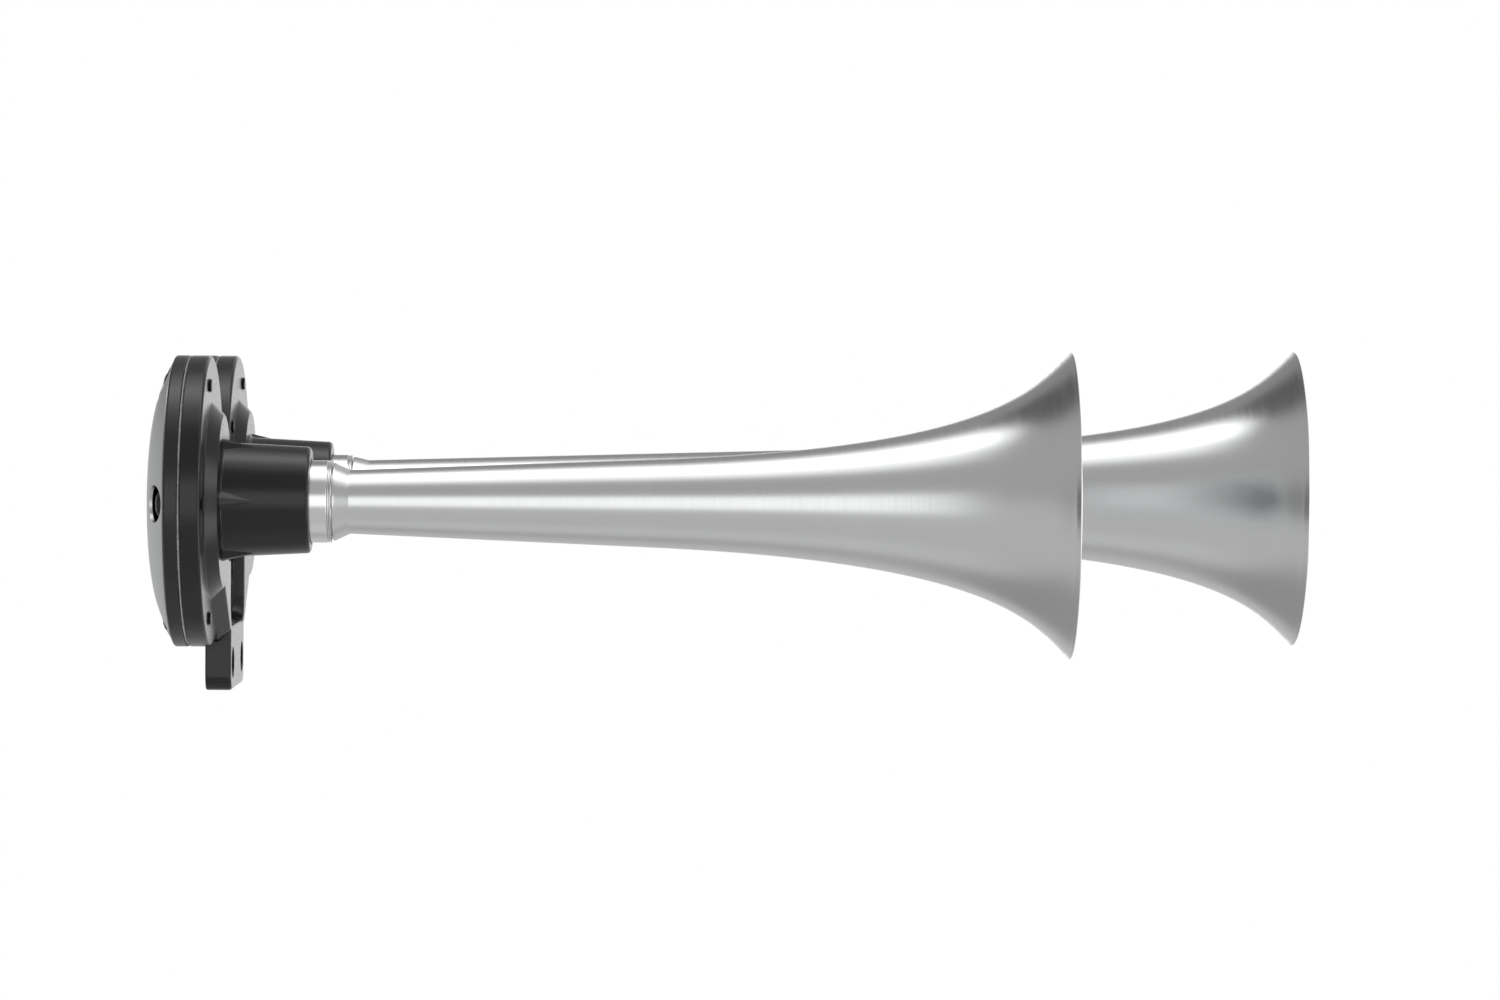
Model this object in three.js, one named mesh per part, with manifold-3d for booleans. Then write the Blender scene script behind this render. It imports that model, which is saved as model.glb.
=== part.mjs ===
// Twin-trumpet compressed-air horn.
// Millimetres. +X runs along the trumpets towards the bells and +Z is up.
// The origin is on the rear face of the foot, midway between its two bolt holes.
// Each head is drawn in its own frame: origin on the trumpet axis at the flange's front face.
import * as THREE from 'three';
import { ConvexGeometry } from 'three/addons/geometries/ConvexGeometry.js';
import { mergeVertices } from 'three/addons/utils/BufferGeometryUtils.js';
import Module from 'manifold-3d';

// ---- places ---------------------------------------------------------------
const HEAD_Y = 54; // the trumpet axes stand this far either side of the middle
const AXIS_Z = 54.6; // height of the trumpet axes above the bolt holes
const FLANGE_FACE_X = 4.6; // front face of the flanges

// ---- casting --------------------------------------------------------------
const FLANGE_R = 47.4;
const FLANGE_THICK = 6.5;
const FLANGE_EDGE = 1.2; // chamfer round a flange's front face
const EDGE = 0.6; // small chamfer on the other cast edges
const PLATE_RISE = 4; // the raised plate stands this far in front of the flanges
const PLATE_R = 28;
const PLATE_DRAFT = 4.3; // how far the plate's sloping side spreads at its base
const BOSS_END_X = 32.3;
const BOSS_BASE_R = 18.7;
const BOSS_TIP_R = 17.3;
const BOSS_RISE = 0.5; // the bosses sit slightly above the trumpet axes
const ROOT = 1; // pieces that merge reach this far into each other
const GUSSET_LENGTH = 12;
const GUSSET_WIDTH = 9;
const GUSSET_RISE = 1.7;
const GUSSET_ROOT_R = 14.2; // the gussets start inside the boss
const WEB_REAR_X = -4.6; // the foot and the web share this rear face
const WEB_TOP_Z = -20.3;
const ARM_START = [50, -27.8]; // outer edge of an arm: from the plate's rim ...
const ARM_END = [28.5, -43]; // ... down to the corner of the foot
const POCKET_HALF_WIDTH = 25.5;
const POCKET_FLOOR_Z = -41;
const POCKET_CORNER_R = 7;
const POCKET_SLOPE = 2.3;
const FOOT_HALF_WIDTH = 26;
const FOOT_BOTTOM_Z = -63.7;
const FOOT_CORNER_R = 5;
const FOOT_EDGE = 1;
const FOOT_HOLE_R = 5;
const FOOT_HOLE_Y = 17.7;

// ---- air passages ---------------------------------------------------------
const CHAMBER_R = 29;
const CHAMBER_FRONT_X = 1;
const HUB_R = 12.8;
const HUB_REAR_X = -5;
const PORT_Z = -34;
const PORT_R = 4.4;
const PORT_BOTTOM_X = -1.2;
const PORT_BOSS_R = 7;
const PORT_BOSS_REAR_X = -8.6;
const GALLERY_X = -3;
const GALLERY_R = 2;
const GALLERY_WALL_R = 3.4;
const GALLERY_END = [41, -24.5];

// ---- head parts, from front to rear ---------------------------------------
const SCREW_COUNT = 5;
const SCREW_CIRCLE_R = 39.6;
const SCREW_HOLE_R = 2.5;
const SCREW_SHANK_R = 2.2;
const SCREW_HEAD_R = 4;
const SCREW_HEAD_HEIGHT = 2.2;
const SCREW_HEAD_EDGE = 1;
const SCREW_SOCKET_R = 1.5;
const SCREW_SOCKET_DEPTH = 1.3;
const SCREW_END_X = 0.9; // the screws stand slightly proud of the flange
const GASKET_THICK = 0.7;
const GASKET_INNER_R = 33.5;
const FACE_GAP = 0.05; // clearance between faces that rest on each other
const CUT_GAP = 0.3; // clearance round a piece that sits in a bore
const COVER_FRONT_X = -7.3;
const COVER_REAR_X = -11.7;
const COVER_FLOOR_X = -10.4;
const COVER_POCKET_R = 36.4;
const PILLAR_R = 5.5;
const PILLAR_REAR_X = -12.3;
const VENT_R = 1.5;
const DIAPHRAGM_R = 36;
const DIAPHRAGM_FRONT_X = -7.5;
const DIAPHRAGM_THICK = 0.4;
const REAR_GASKET_FRONT_X = -8.8;
const REAR_GASKET_INNER_R = 33.2;
const REAR_GASKET_R = 36.1;
const DOME_EDGE_R = 45.8;
const DOME_APEX_X = -19.7;
const DOME_POWER = 3.5; // the dome is flat in the middle and falls away at its rim
const DOME_WALL = 1;
const DOME_OPENING_R = 6;
const DOME_OPENING_CIRCLE_R = 39.3;

// ---- throat and trumpets --------------------------------------------------
const NOZZLE_R = 9.5;
const NOZZLE_BORE_R = 7.5;
const SEAT_X = -7.3;
const NOZZLE_END_X = 19.5;
const SOCKET_BOTTOM_X = 19;
const FERRULE_R = 13.4;
const FERRULE_BORE_R = 11.2;
const FERRULE_END_X = 39.4;
const FERRULE_LIP = 0.3;
const FERRULE_LIP_LENGTH = 1;
const O_RING_X = 20.8;
const O_RING_R = 9.2;
const O_RING_SECTION_R = 0.95;
const SPIGOT_START_X = 22.2;
const SPIGOT_R = 10.9;
const SPIGOT_BORE_R = 9.2;
const SHOULDER_X = 39.6;
const SHOULDER_R = 12.7;
const NECK_X = 45;
const WALL = 1.2;
const FLARE_LENGTH = 136; // the last stretch of a trumpet, where its cone opens into the bell
const FLARE_HANDLE = 114; // length of the flare curve's handle along the cone
const LIP_HANDLE = 12; // length of its handle at the rim
const LIP_SLOPE = 0.92;
const TRUMPETS = {
  short: { side: -1, rimX: 279.8, rimR: 50.1, neckR: 10.42, flareR: 14.42 },
  long: { side: 1, rimX: 365.1, rimR: 50.9, neckR: 11.55, flareR: 17.03 },
};

// ---- air inlet ------------------------------------------------------------
const INLET_SPIGOT_R = 4.1;
const INLET_SPIGOT_END_X = -2.2;
const INLET_HEX_R = 6.9;
const INLET_HEX_LENGTH = 3;
const INLET_STEM_R = 2.7;
const INLET_BARB_R = 3.4;
const INLET_BARB_PITCH = 3.9;
const INLET_BARBS = 2;
const INLET_BARB_LENGTH = 3.4;
const INLET_BORE_R = 1.9;
const WASHER_THICK = 1;
const WASHER_R = 6.4;

// ---- round facets ---------------------------------------------------------
const FLANGE_SIDES = 36;
const TRUMPET_SIDES = 32;
const SMALL_SIDES = 10;
const BORE_SIDES = 24;
const PILLAR_SIDES = 16;
const FLARE_STEPS = 10;
const DOME_STEPS = 5;
const O_RING_STEPS = 8;

// ---- materials ------------------------------------------------------------
const finish = (color, roughness, metalness) => () =>
  new THREE.MeshStandardMaterial({ color, roughness, metalness });
const castBlack = finish(0x1f2020, 0.45, 0.1);
const coverBlack = finish(0x222323, 0.5, 0.1);
const spunAluminium = finish(0xc4c6c8, 0.3, 1);
const ferruleMetal = finish(0xcacccd, 0.25, 1);
const satinCap = finish(0x9a9d9e, 0.4, 1);
const blackSteel = finish(0x151616, 0.4, 0.6);
const springSteel = finish(0xa8a9a6, 0.3, 1);
const gasketPaper = finish(0x8c8c88, 0.9, 0);
const sealRubber = finish(0x111111, 0.8, 0);
const brass = finish(0xb08d4a, 0.35, 1);

// ---- solids ---------------------------------------------------------------
const wasm = await Module();
wasm.setup();

function toManifold(geometry) {
  const bare = geometry.clone();
  bare.deleteAttribute('normal');
  bare.deleteAttribute('uv');
  const merged = mergeVertices(bare, 1e-4);
  return new wasm.Manifold(new wasm.Mesh({
    numProp: 3,
    vertProperties: new Float32Array(merged.attributes.position.array),
    triVerts: new Uint32Array(merged.index.array),
  }));
}

function toGeometry(manifold) {
  const mesh = manifold.getMesh();
  const geometry = new THREE.BufferGeometry();
  geometry.setAttribute('position', new THREE.BufferAttribute(new Float32Array(mesh.vertProperties), 3));
  geometry.setIndex(new THREE.BufferAttribute(new Uint32Array(mesh.triVerts), 1));
  geometry.computeVertexNormals();
  return geometry;
}

const joined = (geometries) => geometries.map(toManifold).reduce((whole, piece) => whole.add(piece));
const cutFrom = (whole, geometries) =>
  geometries.map(toManifold).reduce((rest, tool) => rest.subtract(tool), whole);

// A solid of revolution about the X axis. The outline is a list of [radius, x] points
// that is either closed by its two ends on the axis or, as a ring, closed on itself.
function turned(outline, sides) {
  const points = outline.map(([radius, x]) => new THREE.Vector2(radius, x));
  const startsOnAxis = outline[0][0] === 0;
  if (!startsOnAxis) points.push(points[0].clone());
  if (THREE.ShapeUtils.area(points) < 0) points.reverse();
  const geometry = new THREE.LatheGeometry(points, sides);
  geometry.rotateZ(-Math.PI / 2);
  return geometry;
}

const rod = (radius, x0, x1, sides) => turned([[0, x0], [radius, x0], [radius, x1], [0, x1]], sides);
const ring = (inner, outer, x0, x1, sides) =>
  turned([[inner, x0], [outer, x0], [outer, x1], [inner, x1]], sides);

// An outline drawn in Y and Z, extruded along +X.
const YZ_TO_X = new THREE.Matrix4().makeBasis(
  new THREE.Vector3(0, 1, 0), new THREE.Vector3(0, 0, 1), new THREE.Vector3(1, 0, 0));
function extruded(shape, options, x) {
  const geometry = new THREE.ExtrudeGeometry(shape, { bevelSegments: 1, curveSegments: 5, ...options });
  geometry.applyMatrix4(YZ_TO_X);
  geometry.translate(x, 0, 0);
  return geometry;
}

// The screws stand on a circle. The first points away from the other head.
function screwPlace(side, index, circleR = SCREW_CIRCLE_R) {
  const angle = (index * 2 * Math.PI) / SCREW_COUNT;
  return [side * circleR * Math.cos(angle), circleR * Math.sin(angle)];
}
function atScrews(side, make, circleR) {
  return Array.from({ length: SCREW_COUNT }, (_, index) => {
    const [y, z] = screwPlace(side, index, circleR);
    return make().translate(0, y, z);
  });
}
const screwHoles = (side, x0, x1) => atScrews(side, () => rod(SCREW_HOLE_R, x0, x1, SMALL_SIDES));

// ---- casting --------------------------------------------------------------
function flange() {
  const rear = -FLANGE_THICK;
  return turned([
    [0, rear], [FLANGE_R - EDGE, rear], [FLANGE_R, rear + EDGE],
    [FLANGE_R, -FLANGE_EDGE], [FLANGE_R - FLANGE_EDGE, 0], [0, 0],
  ], FLANGE_SIDES);
}

function plateCone() {
  return turned([
    [0, -ROOT], [PLATE_R + PLATE_DRAFT, -ROOT], [PLATE_R + PLATE_DRAFT, 0],
    [PLATE_R, PLATE_RISE], [0, PLATE_RISE],
  ], FLANGE_SIDES);
}

function boss() {
  const geometry = turned([
    [0, 0], [BOSS_BASE_R + EDGE * 2, 0], [BOSS_BASE_R + EDGE * 2, PLATE_RISE],
    [BOSS_BASE_R, PLATE_RISE + EDGE * 2], [BOSS_TIP_R, BOSS_END_X - EDGE * 2],
    [BOSS_TIP_R - EDGE * 2, BOSS_END_X], [0, BOSS_END_X],
  ], FLANGE_SIDES);
  return geometry.translate(0, 0, BOSS_RISE);
}

// A small pyramid rib at the foot of a boss, in line with a screw.
function gusset(side, index) {
  const angle = Math.atan2(...screwPlace(side, index).reverse());
  const half = GUSSET_WIDTH / 2;
  const low = PLATE_RISE - ROOT;
  const tip = PLATE_RISE + GUSSET_LENGTH;
  const geometry = new ConvexGeometry([
    new THREE.Vector3(low, GUSSET_ROOT_R, -half),
    new THREE.Vector3(low, GUSSET_ROOT_R, half),
    new THREE.Vector3(low, BOSS_BASE_R - EDGE, -half),
    new THREE.Vector3(low, BOSS_BASE_R - EDGE, half),
    new THREE.Vector3(low, BOSS_BASE_R + GUSSET_RISE, 0),
    new THREE.Vector3(tip, BOSS_BASE_R - EDGE * 2, 0),
    new THREE.Vector3(tip, GUSSET_ROOT_R, 0),
  ]);
  return geometry.rotateX(angle).translate(0, 0, BOSS_RISE);
}

// Web and arms: one plate with sloping sides that joins both heads to the foot.
function armPlate() {
  const outline = new THREE.Shape();
  outline.moveTo(-ARM_START[0], ARM_START[1]);
  outline.lineTo(-ARM_END[0], ARM_END[1]);
  outline.lineTo(ARM_END[0], ARM_END[1]);
  outline.lineTo(ARM_START[0], ARM_START[1]);
  outline.lineTo(ARM_START[0], WEB_TOP_Z);
  outline.lineTo(-ARM_START[0], WEB_TOP_Z);
  outline.closePath();
  const depth = -WEB_REAR_X + PLATE_RISE;
  const slope = { bevelThickness: PLATE_RISE, bevelSize: PLATE_DRAFT };
  const whole = toManifold(extruded(outline, { depth, ...slope }, -depth));
  const span = 4 * ARM_START[0];
  const behind = new THREE.BoxGeometry(span, span, span).translate(WEB_REAR_X - span / 2, 0, 0);
  return whole.subtract(toManifold(behind));
}

// The hollow between the arms. Its floor is level with the flanges' front faces.
function armPocket() {
  const outline = new THREE.Shape();
  const [half, low, radius] = [POCKET_HALF_WIDTH, POCKET_FLOOR_Z, POCKET_CORNER_R];
  outline.moveTo(half, 0);
  outline.lineTo(-half, 0);
  outline.absarc(-half + radius, low + radius, radius, Math.PI, 1.5 * Math.PI, false);
  outline.absarc(half - radius, low + radius, radius, 1.5 * Math.PI, 2 * Math.PI, false);
  outline.closePath();
  const slope = { bevelThickness: PLATE_RISE, bevelSize: POCKET_SLOPE };
  return extruded(outline, { depth: BOSS_END_X, ...slope }, PLATE_RISE);
}

function foot() {
  const outline = new THREE.Shape();
  const half = FOOT_HALF_WIDTH - FOOT_EDGE;
  const low = FOOT_BOTTOM_Z + FOOT_EDGE;
  const radius = FOOT_CORNER_R - FOOT_EDGE;
  outline.moveTo(half, ARM_END[1] - FOOT_EDGE);
  outline.lineTo(-half, ARM_END[1] - FOOT_EDGE);
  outline.absarc(-half + radius, low + radius, radius, Math.PI, 1.5 * Math.PI, false);
  outline.absarc(half - radius, low + radius, radius, 1.5 * Math.PI, 2 * Math.PI, false);
  outline.closePath();
  const depth = PLATE_RISE - WEB_REAR_X - 2 * FOOT_EDGE;
  const edge = { bevelThickness: FOOT_EDGE, bevelSize: FOOT_EDGE };
  return extruded(outline, { depth, ...edge }, WEB_REAR_X + FOOT_EDGE);
}

// A straight passage, or the rib round it, from the air port to one head's chamber.
function gallery(side, radius) {
  const start = new THREE.Vector3(GALLERY_X, 0, PORT_Z);
  const end = new THREE.Vector3(GALLERY_X, side * GALLERY_END[0], GALLERY_END[1]);
  const line = end.clone().sub(start);
  const geometry = rod(radius, 0, line.length(), SMALL_SIDES);
  const turn = new THREE.Quaternion().setFromUnitVectors(new THREE.Vector3(1, 0, 0), line.normalize());
  return geometry.applyQuaternion(turn).translate(start.x, start.y, start.z);
}

const atHead = (side, geometry) => geometry.translate(0, side * HEAD_Y, 0);

function castingGeometry() {
  const solids = [
    foot(),
    rod(PORT_BOSS_R, PORT_BOSS_REAR_X, WEB_REAR_X + ROOT, BORE_SIDES).translate(0, 0, PORT_Z),
    gallery(1, GALLERY_WALL_R),
    gallery(-1, GALLERY_WALL_R),
  ];
  const behind = -FLANGE_THICK - ROOT;
  const front = PLATE_RISE + ROOT;
  const hollows = [
    rod(PORT_R, PORT_BOSS_REAR_X - ROOT, PORT_BOTTOM_X, BORE_SIDES).translate(0, 0, PORT_Z),
  ];
  for (const side of [-1, 1]) {
    solids.push(atHead(side, flange()), atHead(side, plateCone()), atHead(side, boss()));
    for (let index = 0; index < SCREW_COUNT; index += 1) {
      solids.push(atHead(side, gusset(side, index)));
    }
    hollows.push(
      atHead(side, ring(HUB_R, CHAMBER_R, behind, CHAMBER_FRONT_X, FLANGE_SIDES)),
      atHead(side, rod(HUB_R + ROOT, behind, HUB_REAR_X, FLANGE_SIDES)),
      atHead(side, rod(NOZZLE_R + CUT_GAP, behind, SOCKET_BOTTOM_X + ROOT, FLANGE_SIDES)),
      atHead(side, rod(FERRULE_R + CUT_GAP, SOCKET_BOTTOM_X, BOSS_END_X + ROOT, FLANGE_SIDES)),
      ...screwHoles(side, behind, ROOT).map((hole) => atHead(side, hole)),
      rod(FOOT_HOLE_R, behind, front, BORE_SIDES).translate(0, side * FOOT_HOLE_Y, -AXIS_Z),
      gallery(side, GALLERY_R),
    );
  }
  const arms = cutFrom(armPlate(), [armPocket()]);
  return toGeometry(cutFrom(arms.add(joined(solids)), hollows));
}

// ---- pieces of one head ---------------------------------------------------
function gasketGeometry(side) {
  const rear = -FLANGE_THICK - FACE_GAP - GASKET_THICK;
  const sheet = ring(GASKET_INNER_R, FLANGE_R - 0.1, rear, rear + GASKET_THICK, FLANGE_SIDES);
  return toGeometry(cutFrom(toManifold(sheet), screwHoles(side, rear - ROOT, 0)));
}

function coverGeometry(side) {
  const shell = turned([
    [VENT_R, COVER_REAR_X], [FLANGE_R - EDGE, COVER_REAR_X], [FLANGE_R, COVER_REAR_X + EDGE],
    [FLANGE_R, COVER_FRONT_X], [COVER_POCKET_R, COVER_FRONT_X], [COVER_POCKET_R, COVER_FLOOR_X],
    [VENT_R, COVER_FLOOR_X],
  ], FLANGE_SIDES);
  const pillar = () => rod(PILLAR_R, PILLAR_REAR_X, COVER_REAR_X + ROOT, PILLAR_SIDES);
  const holes = screwHoles(side, PILLAR_REAR_X - ROOT, 0);
  return toGeometry(cutFrom(joined([shell, ...atScrews(side, pillar)]), holes));
}

function domeGeometry(side) {
  const rimX = COVER_REAR_X - FACE_GAP;
  const skin = (edgeR, apexX) => Array.from({ length: DOME_STEPS + 1 }, (_, step) => {
    const share = Math.sin((step / DOME_STEPS) * (Math.PI / 2));
    return [edgeR * share, apexX + (rimX - apexX) * share ** DOME_POWER];
  });
  const outer = skin(DOME_EDGE_R, DOME_APEX_X);
  const inner = skin(DOME_EDGE_R - DOME_WALL, DOME_APEX_X + DOME_WALL);
  const shell = turned([...outer, ...inner.reverse()], FLANGE_SIDES);
  const opening = () => rod(DOME_OPENING_R, DOME_APEX_X, 0, PILLAR_SIDES);
  return toGeometry(cutFrom(toManifold(shell), atScrews(side, opening, DOME_OPENING_CIRCLE_R)));
}

function screwGeometry() {
  const seat = PILLAR_REAR_X - FACE_GAP;
  const top = seat - SCREW_HEAD_HEIGHT;
  const socketX = top + SCREW_SOCKET_DEPTH;
  return turned([
    [0, socketX], [SCREW_SOCKET_R, socketX], [SCREW_SOCKET_R, top], [SCREW_HEAD_R - SCREW_HEAD_EDGE, top],
    [SCREW_HEAD_R, top + SCREW_HEAD_EDGE], [SCREW_HEAD_R, seat], [SCREW_SHANK_R, seat],
    [SCREW_SHANK_R, SCREW_END_X], [0, SCREW_END_X],
  ], SMALL_SIDES);
}

function ferruleGeometry() {
  const start = SOCKET_BOTTOM_X + CUT_GAP;
  const lipStart = FERRULE_END_X - FERRULE_LIP_LENGTH;
  return turned([
    [FERRULE_BORE_R, start], [FERRULE_R, start], [FERRULE_R, lipStart],
    [FERRULE_R + FERRULE_LIP, lipStart], [FERRULE_R + FERRULE_LIP, FERRULE_END_X],
    [FERRULE_BORE_R, FERRULE_END_X],
  ], TRUMPET_SIDES);
}

function oRingGeometry() {
  const section = Array.from({ length: O_RING_STEPS }, (_, step) => {
    const angle = (step / O_RING_STEPS) * 2 * Math.PI;
    return [O_RING_R + O_RING_SECTION_R * Math.cos(angle), O_RING_X + O_RING_SECTION_R * Math.sin(angle)];
  });
  return turned(section, BORE_SIDES);
}

// Spigot, shoulder, long cone and flare. The bore follows the outside at the wall's thickness.
function trumpetGeometry({ rimX, rimR, neckR, flareR }) {
  const flareX = rimX - FLARE_LENGTH;
  const coneSlope = (flareR - neckR) / (flareX - NECK_X);
  const flare = new THREE.CubicBezierCurve(
    new THREE.Vector2(flareX, flareR),
    new THREE.Vector2(flareX + FLARE_HANDLE, flareR + coneSlope * FLARE_HANDLE),
    new THREE.Vector2(rimX - LIP_HANDLE, rimR - LIP_SLOPE * LIP_HANDLE),
    new THREE.Vector2(rimX, rimR),
  );
  const outside = flare.getPoints(FLARE_STEPS).map((point) => [point.y, point.x]);
  const inside = outside.map(([radius, x]) => [radius - WALL, x]);
  return turned([
    [SPIGOT_BORE_R, SPIGOT_START_X], [SPIGOT_R, SPIGOT_START_X], [SPIGOT_R, SHOULDER_X],
    [SHOULDER_R, SHOULDER_X], [SHOULDER_R, SHOULDER_X + EDGE], [neckR, NECK_X],
    ...outside, ...inside.reverse(), [neckR - WALL, NECK_X],
  ], TRUMPET_SIDES);
}

// ---- air inlet ------------------------------------------------------------
function inletGeometry() {
  const hexFront = PORT_BOSS_REAR_X - WASHER_THICK - 2 * FACE_GAP;
  const hexRear = hexFront - INLET_HEX_LENGTH;
  const barbs = [];
  for (let index = 0; index < INLET_BARBS; index += 1) {
    const start = hexRear - ROOT - index * INLET_BARB_PITCH;
    barbs.push([INLET_STEM_R, start], [INLET_BARB_R, start], [INLET_STEM_R, start - INLET_BARB_LENGTH]);
  }
  const end = hexRear - ROOT - INLET_BARBS * INLET_BARB_PITCH;
  const stem = turned([
    [INLET_BORE_R, INLET_SPIGOT_END_X], [INLET_SPIGOT_R, INLET_SPIGOT_END_X],
    [INLET_SPIGOT_R, hexFront - ROOT], [INLET_STEM_R, hexFront - ROOT], ...barbs,
    [INLET_STEM_R, end], [INLET_BORE_R, end],
  ], BORE_SIDES);
  const hexagon = ring(INLET_STEM_R - EDGE, INLET_HEX_R, hexRear, hexFront, 6);
  return toGeometry(joined([stem, hexagon]));
}

// ---- assembly -------------------------------------------------------------
const group = new THREE.Group();

function addPiece(parent, name, geometry, material) {
  const mesh = new THREE.Mesh(geometry, material());
  mesh.name = name;
  parent.add(mesh);
  return mesh;
}

function addHead(name, trumpet) {
  const { side } = trumpet;
  const head = new THREE.Group();
  head.position.set(FLANGE_FACE_X, side * HEAD_Y, AXIS_Z);
  group.add(head);
  const diaphragmRear = DIAPHRAGM_FRONT_X - DIAPHRAGM_THICK;
  const disc = rod(DIAPHRAGM_R, diaphragmRear, DIAPHRAGM_FRONT_X, FLANGE_SIDES);
  const nozzle = ring(NOZZLE_BORE_R, NOZZLE_R, SEAT_X, NOZZLE_END_X, BORE_SIDES);
  const rearGasketX = COVER_FLOOR_X + FACE_GAP;
  const rearGasket =
    ring(REAR_GASKET_INNER_R, REAR_GASKET_R, rearGasketX, REAR_GASKET_FRONT_X, FLANGE_SIDES);
  addPiece(head, `${name}_front_gasket`, gasketGeometry(side), gasketPaper);
  addPiece(head, `${name}_diaphragm`, disc, springSteel);
  addPiece(head, `${name}_rear_gasket`, rearGasket, gasketPaper);
  addPiece(head, `${name}_back_cover`, coverGeometry(side), coverBlack);
  addPiece(head, `${name}_dome`, domeGeometry(side), satinCap);
  addPiece(head, `${name}_nozzle`, nozzle, brass);
  addPiece(head, `${name}_o_ring`, oRingGeometry(), sealRubber);
  addPiece(head, `${name}_ferrule`, ferruleGeometry(), ferruleMetal);
  addPiece(head, `${name}_trumpet`, trumpetGeometry(trumpet), spunAluminium);
  for (let index = 0; index < SCREW_COUNT; index += 1) {
    const [y, z] = screwPlace(side, index);
    const screw = addPiece(head, `${name}_screw_${index + 1}`, screwGeometry(), blackSteel);
    screw.position.set(0, y, z);
  }
}

const casting = addPiece(group, 'twin_head_casting', castingGeometry(), castBlack);
casting.position.set(FLANGE_FACE_X, 0, AXIS_Z);

for (const [name, trumpet] of Object.entries(TRUMPETS)) addHead(name, trumpet);

const washerFront = PORT_BOSS_REAR_X - FACE_GAP;
const washer = ring(PORT_R, WASHER_R, washerFront - WASHER_THICK, washerFront, BORE_SIDES);
for (const [name, geometry, material] of [
  ['air_inlet', inletGeometry(), brass],
  ['inlet_washer', washer, sealRubber],
]) {
  addPiece(group, name, geometry, material).position.set(FLANGE_FACE_X, 0, AXIS_Z + PORT_Z);
}

export default group;
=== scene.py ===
"""Looks of a twin-trumpet air horn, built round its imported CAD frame.

Outlines are in millimetres and in a head's own frame, as in the CAD model: x runs along the
trumpet from the flange's front face, and radii are measured from the trumpet's axis.
"""
import math
import random

import bmesh
import bpy
from mathutils import Matrix, Vector


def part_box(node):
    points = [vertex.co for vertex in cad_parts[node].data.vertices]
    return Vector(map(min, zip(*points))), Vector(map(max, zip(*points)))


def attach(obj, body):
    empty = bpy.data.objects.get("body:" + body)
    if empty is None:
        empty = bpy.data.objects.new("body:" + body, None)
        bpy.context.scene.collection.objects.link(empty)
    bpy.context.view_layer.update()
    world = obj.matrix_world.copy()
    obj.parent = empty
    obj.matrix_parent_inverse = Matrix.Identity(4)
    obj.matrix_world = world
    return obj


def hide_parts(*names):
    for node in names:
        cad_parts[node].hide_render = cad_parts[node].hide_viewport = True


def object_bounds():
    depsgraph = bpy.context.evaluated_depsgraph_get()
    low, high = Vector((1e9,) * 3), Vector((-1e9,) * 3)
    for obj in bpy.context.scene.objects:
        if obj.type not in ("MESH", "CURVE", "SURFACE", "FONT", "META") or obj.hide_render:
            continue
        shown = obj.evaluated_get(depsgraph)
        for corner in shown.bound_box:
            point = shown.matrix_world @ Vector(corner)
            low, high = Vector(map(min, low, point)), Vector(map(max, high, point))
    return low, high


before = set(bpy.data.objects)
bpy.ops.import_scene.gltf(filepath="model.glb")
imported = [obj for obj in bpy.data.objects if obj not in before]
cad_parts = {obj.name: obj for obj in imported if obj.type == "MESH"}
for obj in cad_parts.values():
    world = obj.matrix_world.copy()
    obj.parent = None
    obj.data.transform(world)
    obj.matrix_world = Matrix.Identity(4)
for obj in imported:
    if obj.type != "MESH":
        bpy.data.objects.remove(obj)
cad_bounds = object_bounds()

MM = 0.001
SIDES = 128  # facets round the large turned pieces
SMALL_SIDES = 32
BOLT_SIDES = 64  # facets round bolt holes, ports and openings
PILLAR_SIDES = 48
SCREW_SIDES = 40
ARC_STEPS = 5  # facets along a rounded corner
CORNER_SHARE = 0.49  # the most of a side that one rounded corner takes
SMALLEST_CORNER = 0.2
SHARP_DEGREES = 32  # edges that bend more than this stay sharp
ON_AXIS = 1e-6  # a smaller radius is a point on the axis
OVERLAP = 1.0  # how far cutters and joined shapes reach past the face they meet
SEED = 7
FLOOR_R = 1.5  # metres, as are the lights and the floor's depth below the horn
FLOOR_DROP = 0.3

# ---- driving dimensions, in millimetres -----------------------------------
FLANGE_THICK = 6.5
FLANGE_R = 47.4
FLANGE_EDGE = 1.3
FLANGE_REAR_EDGE = 0.4
PLATE_RISE = 4.0
PLATE_R = 28.0
PLATE_DRAFT = 4.3
PLATE_FILLET = 1.5
PLATE_EDGE = 0.7
BOSS_END_X = 32.3
BOSS_BASE_R = 18.7
BOSS_TIP_R = 17.3
BOSS_RISE = 0.5
BOSS_FILLET = 1.3
BOSS_EDGE = 1.3
GUSSET_LENGTH = 12.0
GUSSET_WIDTH = 8.0
GUSSET_FLAT = 1.3
GUSSET_RISE = 2.0
GUSSET_DEPTH = 4.0
WEB_REAR_X = -4.6
WEB_TOP_Z = -20.3
WEB_REAR_EDGE = 0.5
ARM_START = (50.0, -27.8)
ARM_END = (28.5, -43.0)
ARM_FRONT_EDGE = ((0.6, 0.62), (0.3, 0.25), (0.1, 0), (0, -0.3))  # (below the front face, spread)
POCKET_HALF_WIDTH = 25.5
POCKET_FLOOR_Z = -41.0
POCKET_CORNER_R = 7.0
POCKET_SLOPE = 2.3
POCKET_LEVELS = (  # (x, spread of the outline)
    (0, -0.6), (0.35, 0.1), (PLATE_RISE - 0.4, POCKET_SLOPE - 0.3),
    (PLATE_RISE, POCKET_SLOPE + 0.4), (PLATE_RISE + 9, POCKET_SLOPE + 0.4),
)
FOOT_HALF_WIDTH = 26.0
FOOT_BOTTOM_Z = -63.7
FOOT_CORNER_R = 5.0
FOOT_EDGE = 1.0
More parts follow.
